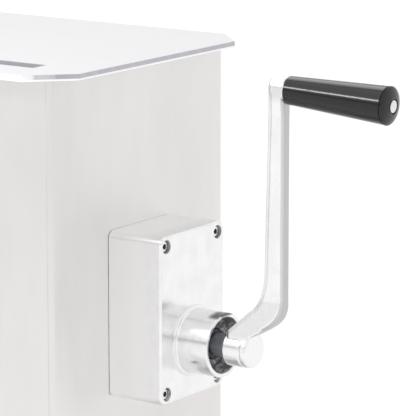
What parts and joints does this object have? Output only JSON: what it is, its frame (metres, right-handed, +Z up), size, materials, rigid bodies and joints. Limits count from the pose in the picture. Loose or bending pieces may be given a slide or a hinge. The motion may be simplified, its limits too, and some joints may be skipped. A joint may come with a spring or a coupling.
{
  "type": "hand crank meat mixer",
  "caption": "Stainless box with a clear lid, a geared hand crank on its end wall and a bladed mixing shaft turning in a U-shaped trough inside.",
  "frame": {"origin": "centre of the bounding box's bottom face, on the table under the feet", "axes": "+X along the shafts towards the crank, +Y to the back (away from the lid's slot), +Z up"},
  "size_m": [0.5844, 0.263, 0.441],
  "materials": {
    "stainless": "satin",
    "cast_aluminium": "polished",
    "polished_aluminium": "polished",
    "gasket": "matte",
    "bright_steel": "bright",
    "gear_steel": "machined",
    "bronze": "machined",
    "seal_rubber": "satin",
    "grip_black": "gloss",
    "clear_acrylic": "clear"
  },
  "bodies": {
    "frame": {"back_panel": "stainless", "backing_plate": "stainless", "foot_back_left": "seal_rubber", "foot_back_right": "seal_rubber", "foot_front_left": "seal_rubber", "foot_front_right": "seal_rubber", "foot_nuts": "bright_steel", "foot_screws": "bright_steel", "front_panel": "stainless", "gear_housing": "cast_aluminium", "housing_gasket": "gasket", "housing_nuts": "bright_steel", "housing_screws": "bright_steel", "input_inner_bush": "bronze", "input_outer_bush": "bronze", "input_seal": "seal_rubber", "left_end_panel": "stainless", "output_bush": "bronze", "output_seal": "seal_rubber", "right_end_panel": "stainless", "tail_bush": "bronze", "trough_end_left": "stainless", "trough_end_right": "stainless", "trough_shell": "stainless"},
    "crank": {"crank_arm": "polished_aluminium", "input_shaft": "bright_steel", "pinion": "gear_steel", "pinion_key": "gear_steel", "input_retaining_ring": "gear_steel", "hub_lock_screw": "bright_steel", "grip_spindle": "bright_steel", "grip_washer": "bright_steel"},
    "grip": {"grip": "grip_black"},
    "paddle": {"output_shaft": "bright_steel", "driven_gear": "gear_steel", "gear_key": "gear_steel", "output_retaining_ring": "gear_steel", "paddle_shaft": "bright_steel", "mixing_blade_1": "bright_steel", "mixing_blade_2": "bright_steel", "mixing_blade_3": "bright_steel", "mixing_blade_4": "bright_steel"},
    "lid": {"lid": "clear_acrylic", "lid_strips": "clear_acrylic"},
    "tail_pin": {"tail_pin": "bright_steel", "tail_knob": "grip_black"}
  },
  "joints": [
    {"name": "crank_spin", "type": "hinge", "parent": "frame", "child": "crank", "pos_m": [0.11679, 0, 0.224], "axis": [1, 0, 0], "continuous": true},
    {"name": "grip_spin", "type": "hinge", "parent": "crank", "child": "grip", "pos_m": [0.20379, 0.00007, 0.42621], "axis": [0.9977, 0.0436, -0.0523], "continuous": true},
    {"name": "paddle_spin", "type": "hinge", "parent": "frame", "child": "paddle", "pos_m": [0.06779, 0, 0.269], "axis": [1, 0, 0], "continuous": true},
    {"name": "lid_lift", "type": "slide", "parent": "frame", "child": "lid", "axis": [0, 0, 1], "range_m": [0, 0.15]},
    {"name": "tail_pin_slide", "type": "slide", "parent": "frame", "child": "tail_pin", "axis": [-1, 0, 0], "range_m": [0, 0.03]}
  ],
  "couplings": [
    {"joint": "paddle_spin", "follows": "crank_spin", "ratio": -0.5}
  ]
}
